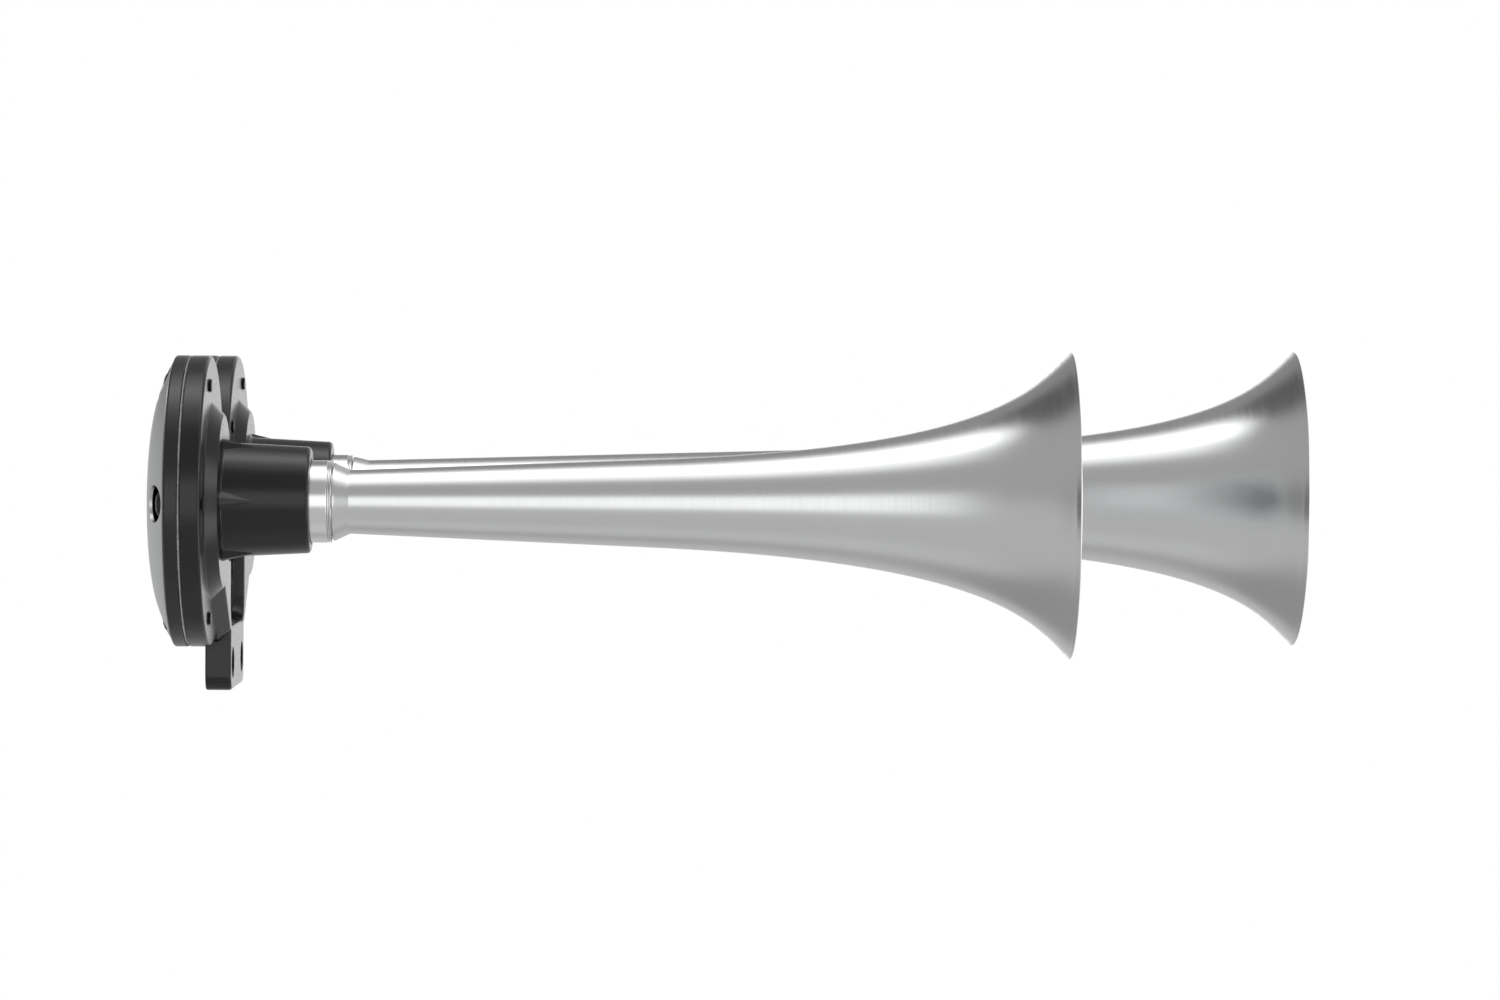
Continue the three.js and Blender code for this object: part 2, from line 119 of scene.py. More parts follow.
FOOT_REAR_EDGE = 0.6
FOOT_HOLE_R = 5.0
FOOT_HOLE_Y = 17.7
FOOT_HOLE_Z = -54.6
FOOT_HOLE_CHAMFER = 0.9
CHAMBER_R = 29.0
CHAMBER_FRONT_X = 1.0
HUB_R = 12.8
HUB_REAR_X = -5.0
PORT_Z = -34.0
PORT_R = 4.4
PORT_FRONT_X = -1.2
PORT_BOSS_R = 7.0
PORT_BOSS_REAR_X = -8.6
GALLERY_X = -3.0
GALLERY_WALL_R = 3.4
GALLERY_END = (41.0, -24.5)
SCREW_COUNT = 5
SCREW_CIRCLE_R = 39.6
SCREW_HOLE_R = 2.5
SCREW_SHANK_R = 2.2
SCREW_HEAD_R = 4.0
SCREW_CROWN_R = 2.2
SCREW_CROWN_DROP = 0.9
THREAD_PITCH = 0.7
THREAD_DEPTH = 0.3
RECESS_SIZE = (3.0, 4.2, 0.85)  # depth into the head and out of it, length, width
PILLAR_R = 5.5
PILLAR_REAR_X = -12.3
COVER_FRONT_X = -7.3
COVER_REAR_X = -11.7
COVER_FLOOR_X = -10.4
COVER_BORE_R = 1.5
COVER_RECESS_R = 36.4
GASKET_BORE_R = 33.5
GASKET_MARGIN = 0.2
GASKET_DRAWN_IN = 0.35
GASKET_RIDGE = 0.12
GASKET_WAVES = 6
WAVE_SIZE = (0.03, 0.08)
WAVE_RIPPLES = (5, 31)  # the fewest and the most round the edge
RIPPLE_LIMITS = (-0.25, 0.1)
SEAT_GAP = 0.05  # between parts that lie on each other
DOME_EDGE_R = 45.8
DOME_APEX_X = -19.7
DOME_POWER = 3.5
DOME_WALL = 1.0
DOME_STEPS = 40
DOME_OPENING_R = 6.0
DOME_OPENING_CIRCLE_R = 39.3
NOZZLE_R = 9.5
SOCKET_BOTTOM_X = 19.0
SOCKET_CHAMFER = 1.4
FERRULE_R = 13.4
FERRULE_BORE_R = 11.2
GROOVE_COUNT = 3
GROOVE_PITCH = 0.55
GROOVE_DEPTH = 0.2
FERRULE_END_X = 39.4
FERRULE_EDGE = 0.1
WALL = 1.2
CUT_GAP = 0.3
FLARE_LENGTH = 136.0
FLARE_HANDLE = 114.0
LIP_HANDLE = 12.0
LIP_SLOPE = 0.92
LIP_BEAD = 0.7
LIP_OUTLINE = ((0.25, 0.55), (0, 0.25), (0.3, 0), (WALL, 0.1))  # (below the rim's radius, behind its front)
FLARE_STEPS = 56
TUBE_START_X = 22.2
TUBE_INNER_R = 9.2
TUBE_OUTER_R = 10.9
SHOULDER_X = 39.6
SHOULDER_R = 12.7
SHOULDER_LENGTH = 0.6
NECK_X = 45.0
NECK_FILLET = 1.2
CONE_START_X = 48.0
NECK_R = {"short": 10.42, "long": 11.55}
FLARE_R = {"short": 14.42, "long": 17.03}
HEAD_SIDE = {"short": -1, "long": 1}
HEX_R = 6.9
HEX_DEPTH = 3.0
HEX_EDGE = 0.4
WASHER_THICK = 1.1
STEM_BORE_R = 1.9
STEM_R = 2.7
STEM_SPIGOT_R = 4.1
STEM_FRONT_X = -2.2
BARB_COUNT = 2
BARB_GAP = 1.0
BARB_R = 3.4
BARB_LENGTH = 3.4
BARB_PITCH = 3.9

# ---- places, read from the frame ------------------------------------------
FACE_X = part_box("short_front_gasket")[1].x / MM + FLANGE_THICK + SEAT_GAP


def head_origin(head):
    """Where the trumpet's axis meets the flange's front face, in millimetres."""
    low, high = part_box(f"{head}_trumpet")
    middle = (low + high) / 2 / MM
    return Vector((FACE_X, middle.y, middle.z))


CASTING_ORIGIN = Vector((FACE_X, 0.0, head_origin("short").z))


# ---- mesh helpers ---------------------------------------------------------
def rounded(corners, closed=True):
    """An outline from (a, b, radius) corners, each rounded by an arc of that radius."""
    points = []
    count = len(corners)
    for index, (a, b, radius) in enumerate(corners):
        here = Vector((a, b))
        at_end = not closed and index in (0, count - 1)
        if radius <= 0 or at_end:
            points.append(tuple(here))
            continue
        before = Vector(corners[index - 1][:2]) - here
        after = Vector(corners[(index + 1) % count][:2]) - here
        half_angle = before.angle(after) / 2
        longest = CORNER_SHARE * min(before.length, after.length)
        reach = min(radius / math.tan(half_angle), longest)
        radius = reach * math.tan(half_angle)
        start = here + before.normalized() * reach
        end = here + after.normalized() * reach
        inward = (before.normalized() + after.normalized()).normalized()
        centre = here + inward * (radius / math.sin(half_angle))
        sweep = (start - centre).angle_signed(end - centre)
        for step in range(ARC_STEPS + 1):
            turn = Matrix.Rotation(-sweep * step / ARC_STEPS, 2)
            points.append(tuple(centre + turn @ (start - centre)))
    return points


def shade(piece):
    """Smooth faces, whose edges stay sharp past an angle."""
    piece.data.shade_smooth()
    piece.data.set_sharp_from_angle(angle=math.radians(SHARP_DEGREES))


def finish_mesh(name, bm):
    """A linked object with outward faces, made from a bmesh that is then freed."""
    bmesh.ops.recalc_face_normals(bm, faces=bm.faces)
    mesh = bpy.data.meshes.new(name)
    bm.to_mesh(mesh)
    bm.free()
    piece = bpy.data.objects.new(name, mesh)
    bpy.context.scene.collection.objects.link(piece)
    shade(piece)
    return piece


def turned(name, outline, origin, sides=SIDES):
    """Turns a (radius, x) outline about the X axis through origin. Radius 0 is a point on the axis."""
    bm = bmesh.new()
    rings = []
    for radius, x in outline:
        if radius < ON_AXIS:
            rings.append([bm.verts.new((origin + Vector((x, 0, 0))) * MM)])
            continue
        ring = []
        for side in range(sides):
            angle = 2 * math.pi * side / sides
            spot = Vector((x, radius * math.cos(angle), radius * math.sin(angle)))
            ring.append(bm.verts.new((origin + spot) * MM))
        rings.append(ring)
    closed = outline[0][0] > ON_AXIS
    for index in range(len(rings) - (0 if closed else 1)):
        here, there = rings[index], rings[(index + 1) % len(rings)]
        for side in range(sides):
            after = (side + 1) % sides
            corners = [here[side % len(here)], here[after % len(here)]]
            corners += [there[after % len(there)], there[side % len(there)]]
            bm.faces.new(list(dict.fromkeys(corners)))
    return finish_mesh(name, bm)


def rod(name, radius, x0, x1, origin, sides=SMALL_SIDES):
    return turned(name, [(0, x0), (radius, x0), (radius, x1), (0, x1)], origin, sides)


def lofted(name, levels, origin):
    """Joins outlines in Y and Z, one for each x, into one closed solid."""
    bm = bmesh.new()
    loops = []
    for x, outline in levels:
        loops.append([bm.verts.new((origin + Vector((x, y, z))) * MM) for y, z in outline])
    for here, there in zip(loops, loops[1:]):
        for index in range(len(here)):
            after = (index + 1) % len(here)
            bm.faces.new([here[index], here[after], there[after], there[index]])
    bm.faces.new(loops[0])
    bm.faces.new(loops[-1])
    return finish_mesh(name, bm)


def spread_outline(corners, spread):
    """Moves every side of a counter-clockwise (y, z, radius) outline outward by spread."""
    moved = []
    count = len(corners)
    for index, (y, z, radius) in enumerate(corners):
        here = Vector((y, z))
        arriving = (here - Vector(corners[index - 1][:2])).normalized()
        leaving = (Vector(corners[(index + 1) % count][:2]) - here).normalized()
        normal_in = Vector((arriving.y, -arriving.x))
        normal_out = Vector((leaving.y, -leaving.x))
        outward = (normal_in + normal_out) / (1 + normal_in.dot(normal_out))
        corner = here + outward * spread
        turns_left = arriving.cross(leaving) > 0
        grown = radius + spread if turns_left else radius - spread
        moved.append((corner.x, corner.y, max(grown, SMALLEST_CORNER)))
    return rounded(moved)


def rounded_edge(corners, face_x, inward, edge):
    """Loft levels from a face at face_x to its side, with a round edge between them."""
    levels = []
    for step in range(ARC_STEPS + 1):
        angle = math.pi / 2 * step / ARC_STEPS
        x = face_x + inward * edge * (1 - math.cos(angle))
        levels.append((x, spread_outline(corners, -edge * (1 - math.sin(angle)))))
    return levels


def combine(base, tools, operation):
    """Applies boolean modifiers to base and removes the tools."""
    for tool in tools:
        modifier = base.modifiers.new(operation.lower(), "BOOLEAN")
        modifier.operation = operation
        modifier.solver = "MANIFOLD"
        modifier.object = tool
    depsgraph = bpy.context.evaluated_depsgraph_get()
    mesh = bpy.data.meshes.new_from_object(base.evaluated_get(depsgraph))
    base.modifiers.clear()
    base.data = mesh
    for tool in tools:
        bpy.data.objects.remove(tool)
    shade(base)
    return base


def screw_places(head, circle_r=SCREW_CIRCLE_R):
    side = HEAD_SIDE[head]
    for index in range(SCREW_COUNT):
        angle = 2 * math.pi * index / SCREW_COUNT
        yield index + 1, Vector((0, side * circle_r * math.cos(angle), circle_r * math.sin(angle)))


# ---- node material helpers ------------------------------------------------
NOISE_MIDDLE = (0.3, 0.7)


def new_material(name):
    material = bpy.data.materials.new(name)
    material.use_nodes = True
    return material, material.node_tree.nodes, material.node_tree.links


def noise(nodes, links, scale, detail=3.0, stretch=(1, 1, 1)):
    """Noise in object space. Scale is per metre, and stretch squeezes it along the axes."""
    coordinates = nodes.new("ShaderNodeTexCoord")
    mapping = nodes.new("ShaderNodeMapping")
    mapping.inputs["Scale"].default_value = stretch
    texture = nodes.new("ShaderNodeTexNoise")
    texture.inputs["Scale"].default_value = scale
    texture.inputs["Detail"].default_value = detail
    links.new(coordinates.outputs["Object"], mapping.inputs["Vector"])
    links.new(mapping.outputs["Vector"], texture.inputs["Vector"])
    return texture.outputs["Fac"]


def spread_values(nodes, links, source, low, high):
    """Maps the middle of a noise's values to the range low to high."""
    ramp = nodes.new("ShaderNodeMapRange")
    ramp.inputs["From Min"].default_value = NOISE_MIDDLE[0]
    ramp.inputs["From Max"].default_value = NOISE_MIDDLE[1]
    ramp.inputs["To Min"].default_value = low
    ramp.inputs["To Max"].default_value = high
    links.new(source, ramp.inputs["Value"])
    return ramp.outputs["Result"]


def tint(nodes, links, source, dark, light):
    """A colour between dark and light, by the source's value."""
    mix = nodes.new("ShaderNodeMix")
    mix.data_type = "RGBA"
    mix.inputs["A"].default_value = (*dark, 1)
    mix.inputs["B"].default_value = (*light, 1)
    links.new(source, mix.inputs["Factor"])
    return mix.outputs["Result"]


def math_node(nodes, links, operation, *values):
    """A math node whose inputs are sockets or numbers."""
    node = nodes.new("ShaderNodeMath")
    node.operation = operation
    for socket, value in zip(node.inputs, values):
        if isinstance(value, bpy.types.NodeSocket):
            links.new(value, socket)
        else:
            socket.default_value = value
    return node.outputs[0]


def soft_step(nodes, links, value, start, full):
    """Rises smoothly from 0 at start to 1 at full, which may be the smaller of the two."""
    node = nodes.new("ShaderNodeMapRange")
    node.interpolation_type = "SMOOTHSTEP"
    node.inputs["From Min"].default_value = start
    node.inputs["From Max"].default_value = full
    links.new(value, node.inputs["Value"])
    return node.outputs["Result"]


def mixed(nodes, links, factor, first, second):
    """A value between two sockets or numbers."""
    node = nodes.new("ShaderNodeMix")
    links.new(factor, node.inputs["Factor"])
    for name, value in (("A", first), ("B", second)):
        if isinstance(value, bpy.types.NodeSocket):
            links.new(value, node.inputs[name])
        else:
            node.inputs[name].default_value = value
    return node.outputs["Result"]


def bump(nodes, links, source, distance, strength, below=None):
    node = nodes.new("ShaderNodeBump")
    node.inputs["Distance"].default_value = distance
    node.inputs["Strength"].default_value = strength
    links.new(source, node.inputs["Height"])
    if below is not None:
        links.new(below, node.inputs["Normal"])
    return node.outputs["Normal"]


def surface(name, dark, light, roughness, metallic, grain, fine, stretch=(1, 1, 1), bumps=(), **sockets):
    """A finish whose colour and roughness vary at two scales.

    Each bump is (noise scale, distance, strength, stretch).
    """
    material, nodes, links = new_material(name)
    shader = nodes["Principled BSDF"]
    shader.inputs["Metallic"].default_value = metallic
    for socket, value in sockets.items():
        shader.inputs[socket.replace("_", " ")].default_value = value
    broad = noise(nodes, links, grain, 2.0, stretch)
    close = noise(nodes, links, fine, 3.0, stretch)
    links.new(tint(nodes, links, broad, dark, light), shader.inputs["Base Color"])
    links.new(spread_values(nodes, links, close, *roughness), shader.inputs["Roughness"])
    normal = None
    for scale, distance, strength, squeeze in bumps:
        source = noise(nodes, links, scale, 3.0, squeeze)
        normal = bump(nodes, links, source, distance, strength, normal)
    if normal is not None:
        links.new(normal, shader.inputs["Normal"])
    return material


EVEN = (1, 1, 1)
INSIDE_ROUGHNESS = 0.8  # inside the trumpets
LATHE = (1, 0.02, 0.02)  # fine lines round a piece that was turned on the X axis
MATERIALS = {
    "cast_black": surface(
        "cast_black", (0.0030, 0.0033, 0.0032), (0.0055, 0.0058, 0.0057), (0.20, 0.27), 0.0, 60, 900,
        bumps=((1400, 0.00005, 0.22, EVEN), (260, 0.0002, 0.08, EVEN)), Specular_IOR_Level=0.48,
    ),
    "cover_black": surface(
        "cover_black", (0.0045, 0.0048, 0.0047), (0.0075, 0.0078, 0.0077), (0.26, 0.33), 0.0, 80, 1200,
        bumps=((2200, 0.00003, 0.25, EVEN),), Specular_IOR_Level=0.55,
    ),
    "spun_aluminium": surface(
        "spun_aluminium", (0.74, 0.745, 0.75), (0.80, 0.805, 0.81), (0.21, 0.27), 1.0, 40, 1500, LATHE,
        bumps=((3200, 0.00001, 0.12, LATHE), (120, 0.00008, 0.05, LATHE)),
    ),
    "ferrule_metal": surface(
        "ferrule_metal", (0.80, 0.805, 0.81), (0.86, 0.865, 0.87), (0.12, 0.2), 1.0, 90, 2500, LATHE,
        bumps=((2600, 0.00002, 0.2, LATHE),),
    ),
    "satin_cap": surface(
        "satin_cap", (0.62, 0.63, 0.63), (0.70, 0.71, 0.71), (0.30, 0.38), 1.0, 50, 2500,
        bumps=((5200, 0.00002, 0.25, EVEN),),
    ),
    "black_steel": surface(
        "black_steel", (0.010, 0.010, 0.010), (0.020, 0.020, 0.020), (0.25, 0.38), 0.5, 400, 2500,
        bumps=((3000, 0.00002, 0.25, EVEN),),
    ),
    "spring_steel": surface(
        "spring_steel", (0.5, 0.5, 0.48), (0.6, 0.6, 0.58), (0.22, 0.32), 1.0, 60, 2500,
        bumps=((3000, 0.00001, 0.2, (1, 1, 0.05)),),
    ),
    "gasket": surface(
        "gasket", (0.10, 0.10, 0.095), (0.42, 0.42, 0.40), (0.75, 0.9), 0.0, 900, 3000,
        bumps=((2600, 0.00012, 0.7, EVEN),),
    ),
    "seal_rubber": surface(
        "seal_rubber", (0.012, 0.012, 0.012), (0.02, 0.02, 0.02), (0.6, 0.75), 0.0, 200, 2000,
        bumps=((1800, 0.00005, 0.3, EVEN),),
    ),
    "brass": surface(
        "brass", (0.60, 0.44, 0.20), (0.70, 0.53, 0.28), (0.2, 0.32), 1.0, 120, 2500, LATHE,
        bumps=((2600, 0.00002, 0.25, LATHE),),
    ),
}


def roughen_inside(material):
    """Makes the faces that carry the "inside" attribute duller than the outside."""
    nodes, links = material.node_tree.nodes, material.node_tree.links
    roughness = nodes["Principled BSDF"].inputs["Roughness"]
    inside = nodes.new("ShaderNodeAttribute")
    inside.attribute_name = "inside"
    polished = roughness.links[0].from_socket
    links.new(mixed(nodes, links, inside.outputs["Fac"], polished, INSIDE_ROUGHNESS), roughness)


roughen_inside(MATERIALS["spun_aluminium"])


def place(piece, node, slot, body="housing"):
    """Gives a piece its finish and its body, and hides the CAD node that it stands for."""
    piece.data.materials.clear()
    piece.data.materials.append(MATERIALS[slot])
    weighted = piece.modifiers.new("even_normals", "WEIGHTED_NORMAL")
    weighted.keep_sharp = True
    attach(piece, body)
    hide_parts(node)
    return piece


# ---- trumpets and ferrules ------------------------------------------------
def flare_points(head):
    """The cone's end and the flare up to the rim, as (radius, x)."""
    low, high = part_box(f"{head}_trumpet")
    rim_x = high.x / MM - FACE_X
    rim_r = (high.z - low.z) / MM / 2
    start_x = rim_x - FLARE_LENGTH
    slope = (FLARE_R[head] - NECK_R[head]) / (start_x - NECK_X)
    handles = [
        Vector((start_x, FLARE_R[head])),
        Vector((start_x + FLARE_HANDLE, FLARE_R[head] + slope * FLARE_HANDLE)),
        Vector((rim_x - LIP_HANDLE, rim_r - LIP_SLOPE * LIP_HANDLE)),
        Vector((rim_x, rim_r)),
    ]
    points = []
    for step in range(FLARE_STEPS + 1):
        t = step / FLARE_STEPS
        weights = ((1 - t) ** 3, 3 * t * (1 - t) ** 2, 3 * t * t * (1 - t), t**3)
        at = sum((w * p for w, p in zip(weights, handles)), Vector((0, 0)))
        points.append((at.y, at.x))
    return points


def mark_inside(piece, origin):
    """Marks the faces that look towards the trumpet's axis."""
    marks = piece.data.attributes.new("inside", "FLOAT", "FACE")
    for face in piece.data.polygons:
        spoke = face.center - origin * MM
        spoke.x = 0
        marks.data[face.index].value = float(face.normal.dot(spoke) < 0)


def build_trumpet(head):
    neck = NECK_R[head]
    flare = flare_points(head)
    rim_r, rim_x = flare[-1]
    # The lip is a small round bead, so the last points of the flare give way to its arc.
    outside = [point for point in flare if point[1] < rim_x - LIP_BEAD]
    lip = [(rim_r - drop, rim_x - back) for drop, back in LIP_OUTLINE]
    inside = [(radius - WALL, x) for radius, x in reversed(outside)]
    shoulder = rounded([
        (TUBE_INNER_R, TUBE_START_X, 0), (TUBE_OUTER_R, TUBE_START_X, 0),
        (TUBE_OUTER_R, SHOULDER_X, 0), (SHOULDER_R, SHOULDER_X, 0.3),
        (SHOULDER_R, SHOULDER_X + SHOULDER_LENGTH, SHOULDER_LENGTH), (neck, NECK_X, NECK_FILLET),
        (neck + 0.1, CONE_START_X, 0),
    ], closed=False)
    outline = shoulder + outside + lip + inside + [(neck - WALL, NECK_X)]
    piece = turned(f"{head}_trumpet_spun", outline, head_origin(head))
    mark_inside(piece, head_origin(head))
    return place(piece, f"{head}_trumpet", "spun_aluminium")


def build_ferrule(head):
    """A turned sleeve with a band of fine grooves at its front end."""
    start = SOCKET_BOTTOM_X + CUT_GAP
    band_start = FERRULE_END_X - GROOVE_PITCH * GROOVE_COUNT - FERRULE_EDGE
    outline = rounded([
        (FERRULE_BORE_R, FERRULE_END_X, FERRULE_EDGE), (FERRULE_BORE_R, start, 0.2),
        (FERRULE_R, start, 0.4), (FERRULE_R, band_start, 0),
    ], closed=False)
    for groove in range(GROOVE_COUNT):
        x = band_start + groove * GROOVE_PITCH
        outline += [(FERRULE_R - GROOVE_DEPTH, x + GROOVE_PITCH / 2), (FERRULE_R, x + GROOVE_PITCH)]
    outline.append((FERRULE_R - FERRULE_EDGE, FERRULE_END_X))
    piece = turned(f"{head}_ferrule_turned", outline, head_origin(head))
    return place(piece, f"{head}_ferrule", "ferrule_metal")


# ---- casting --------------------------------------------------------------
def build_flange(head):
    outline = rounded([
        (0, -FLANGE_THICK, 0), (FLANGE_R, -FLANGE_THICK, FLANGE_REAR_EDGE),
        (FLANGE_R, 0, FLANGE_EDGE), (0, 0, 0),
    ], closed=False)
    return turned("flange", outline, head_origin(head))


def build_plate(head):
    foot_r = PLATE_R + PLATE_DRAFT
    outline = rounded([
        (0, -OVERLAP, 0), (foot_r + OVERLAP, -OVERLAP, 0), (foot_r + OVERLAP, 0, 0),
        (foot_r, 0, PLATE_FILLET), (PLATE_R, PLATE_RISE, PLATE_EDGE), (0, PLATE_RISE, 0),
    ], closed=False)
    return turned("plate", outline, head_origin(head))


def build_boss(head):
    foot_r = BOSS_BASE_R + BOSS_FILLET * 2
    outline = rounded([
        (0, 0, 0), (foot_r, 0, 0), (foot_r, PLATE_RISE - 0.02, 0), (BOSS_BASE_R, PLATE_RISE, BOSS_FILLET),
        (BOSS_TIP_R, BOSS_END_X, BOSS_EDGE), (0, BOSS_END_X, 0),
    ], closed=False)
    return turned("boss", outline, head_origin(head) + Vector((0, 0, BOSS_RISE)))


def build_gusset(head, spoke):
    """A tapering rib at the foot of a boss, whose flat ridge runs out to a point along the boss."""
    bm = bmesh.new()
    along = spoke.normalized()
    across = Vector((1, 0, 0)).cross(along)
    middle = head_origin(head) + Vector((0, 0, BOSS_RISE))
    half = GUSSET_WIDTH / 2
    low = PLATE_RISE - OVERLAP
    far = PLATE_RISE + GUSSET_LENGTH
    root_r = BOSS_TIP_R - GUSSET_DEPTH
    ridge_r = BOSS_BASE_R + GUSSET_RISE
    base_r = BOSS_BASE_R - 0.5
    spots = [
        (low, root_r, -half), (low, root_r, half), (low, base_r, -half), (low, base_r, half),
        (low, ridge_r, -GUSSET_FLAT), (low, ridge_r, GUSSET_FLAT),
        (far, BOSS_BASE_R - 0.9, 0), (far, root_r, 0),
    ]
    for x, radius, aside in spots:
        bm.verts.new((middle + Vector((x, 0, 0)) + along * radius + across * aside) * MM)
    bmesh.ops.convex_hull(bm, input=bm.verts)
    return finish_mesh("gusset", bm)


def build_arms():
    """The web that joins the two flanges, whose front edges slope and round off into its front face."""
    corners = [
        (-ARM_START[0], ARM_START[1], 0), (-ARM_END[0], ARM_END[1], 2), (ARM_END[0], ARM_END[1], 2),
        (ARM_START[0], ARM_START[1], 0), (ARM_START[0], WEB_TOP_Z, 0), (-ARM_START[0], WEB_TOP_Z, 0),
    ]
    levels = [(WEB_REAR_X, spread_outline(corners, PLATE_DRAFT - WEB_REAR_EDGE))]
    levels += [(WEB_REAR_X + WEB_REAR_EDGE, spread_outline(corners, PLATE_DRAFT))]
    levels += [(0, spread_outline(corners, PLATE_DRAFT))]
    for drop, spread in ARM_FRONT_EDGE:
        levels.append((PLATE_RISE - drop, spread_outline(corners, spread)))
    return lofted("arms", levels, CASTING_ORIGIN)


def build_pocket():
    """The cutter for the open pocket between the arms, with sloping walls and rounded edges."""
    half, low, radius = POCKET_HALF_WIDTH, POCKET_FLOOR_Z, POCKET_CORNER_R
    corners = [(-half, 0, 0), (-half, low, radius), (half, low, radius), (half, 0, 0)]
    levels = [(x, spread_outline(corners, spread)) for x, spread in POCKET_LEVELS]
    return lofted("pocket", levels, CASTING_ORIGIN)


def build_foot():
    half, low = FOOT_HALF_WIDTH, FOOT_BOTTOM_Z
    top = ARM_END[1] + 0.5
    corners = [(-half, top, 0), (-half, low, FOOT_CORNER_R), (half, low, FOOT_CORNER_R), (half, top, 0)]
    levels = rounded_edge(corners, WEB_REAR_X, 1, FOOT_REAR_EDGE)
    levels += rounded_edge(corners, PLATE_RISE, -1, FOOT_EDGE)[::-1]
    return lofted("foot", levels, CASTING_ORIGIN)


def build_gallery(side, radius):
    """The rib round the air passage that runs from the port to one head."""
    start = Vector((GALLERY_X, 0, PORT_Z))
    end = Vector((GALLERY_X, side * GALLERY_END[0], GALLERY_END[1]))
    line = end - start
    piece = rod("gallery", radius, 0, line.length, Vector((0, 0, 0)))
    turn = Vector((1, 0, 0)).rotation_difference(line)
    move = Matrix.Translation((CASTING_ORIGIN + start) * MM)
    piece.data.transform(move @ turn.to_matrix().to_4x4())
    return piece


def build_casting():
    arms = combine(build_arms(), [build_pocket()], "DIFFERENCE")
    solids = [build_foot()]
    port = CASTING_ORIGIN + Vector((0, 0, PORT_Z))
    port_boss = rounded([
        (0, WEB_REAR_X + OVERLAP, 0), (PORT_BOSS_R, WEB_REAR_X + OVERLAP, 0),
        (PORT_BOSS_R, PORT_BOSS_REAR_X, 0.6), (0, PORT_BOSS_REAR_X, 0),
    ], closed=False)
    solids.append(turned("port_boss", port_boss, port, BOLT_SIDES))
    hollows = [rod("port", PORT_R, PORT_BOSS_REAR_X - OVERLAP, PORT_FRONT_X, port, PILLAR_SIDES)]
    behind = -FLANGE_THICK - OVERLAP
    for head, side in HEAD_SIDE.items():
        origin = head_origin(head)
        solids += [build_flange(head), build_plate(head), build_boss(head)]
        solids.append(build_gallery(side, GALLERY_WALL_R))
        chamber = [(HUB_R, behind), (CHAMBER_R, behind)]
        chamber += [(CHAMBER_R, CHAMBER_FRONT_X), (HUB_R, CHAMBER_FRONT_X)]
        hollows.append(turned("chamber", chamber, origin))
        hollows.append(rod("hub_cut", HUB_R + OVERLAP, behind, HUB_REAR_X, origin, SIDES))
        hollows.append(rod("bore", NOZZLE_R + CUT_GAP, behind, SOCKET_BOTTOM_X + OVERLAP, origin, SIDES))
        socket_r = FERRULE_R + CUT_GAP
        socket = rounded([
            (0, SOCKET_BOTTOM_X, 0), (socket_r, SOCKET_BOTTOM_X, 0), (socket_r, BOSS_END_X - 0.4, 0),
            (socket_r + SOCKET_CHAMFER, BOSS_END_X + OVERLAP, 0), (0, BOSS_END_X + OVERLAP, 0),
        ], closed=False)
        hollows.append(turned("socket", socket, origin))
        for _, spoke in screw_places(head):
            solids.append(build_gusset(head, spoke))
            hollows.append(rod("screw_hole", SCREW_HOLE_R, behind, OVERLAP, origin + spoke))
        foot_hole = CASTING_ORIGIN + Vector((0, side * FOOT_HOLE_Y, FOOT_HOLE_Z))
        wide_r = FOOT_HOLE_R + FOOT_HOLE_CHAMFER
        rear, front = WEB_REAR_X - OVERLAP, PLATE_RISE + OVERLAP
        hole = [(0, rear), (wide_r, rear), (FOOT_HOLE_R, WEB_REAR_X + 0.4)]
        hole += [(FOOT_HOLE_R, PLATE_RISE - 0.4), (wide_r, front), (0, front)]
        hollows.append(turned("foot_hole", hole, foot_hole, BOLT_SIDES))
    whole = combine(arms, solids, "UNION")
    whole = combine(whole, hollows, "DIFFERENCE")
    whole.name = "twin_head_casting_cast"
    return place(whole, "twin_head_casting", "cast_black")


# ---- pieces behind the flanges --------------------------------------------
def build_front_gasket(head, rng):
    """A fibre sheet whose edge stands slightly proud and is cut a little unevenly."""
    origin = head_origin(head)
    low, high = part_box(f"{head}_front_gasket")
    rear, front = low.x / MM - FACE_X, high.x / MM - FACE_X
    bm = bmesh.new()
    waves = []
    for _ in range(GASKET_WAVES):
        waves.append((rng.uniform(*WAVE_SIZE), rng.randint(*WAVE_RIPPLES), rng.uniform(0, 6.3)))
    sides = SIDES * 3
    rings = []
    middle = (rear + front) / 2
    for inner, x, drawn_in in (
        (True, rear, 0), (False, rear, GASKET_DRAWN_IN), (False, middle - GASKET_RIDGE, 0),
        (False, middle + GASKET_RIDGE, 0), (False, front, GASKET_DRAWN_IN), (True, front, 0),
    ):
        ring = []
        for side in range(sides):
            angle = 2 * math.pi * side / sides
            ripple = sum(size * math.sin(count * angle + phase) for size, count, phase in waves)
            ripple = min(max(ripple, RIPPLE_LIMITS[0]), RIPPLE_LIMITS[1])
            edge_r = FLANGE_R - GASKET_MARGIN - drawn_in + ripple
            radius = GASKET_BORE_R if inner else edge_r
            spot = Vector((x, radius * math.cos(angle), radius * math.sin(angle)))
            ring.append(bm.verts.new((origin + spot) * MM))
        rings.append(ring)
    for here, there in zip(rings, rings[1:] + rings[:1]):
        for side in range(sides):
            after = (side + 1) % sides
            bm.faces.new([here[side], here[after], there[after], there[side]])
    sheet = finish_mesh(f"{head}_front_gasket_sheet", bm)
    holes = []
    for _, spoke in screw_places(head):
        holes.append(rod("hole", SCREW_HOLE_R, rear - OVERLAP, 0, origin + spoke))
    return place(combine(sheet, holes, "DIFFERENCE"), f"{head}_front_gasket", "gasket")


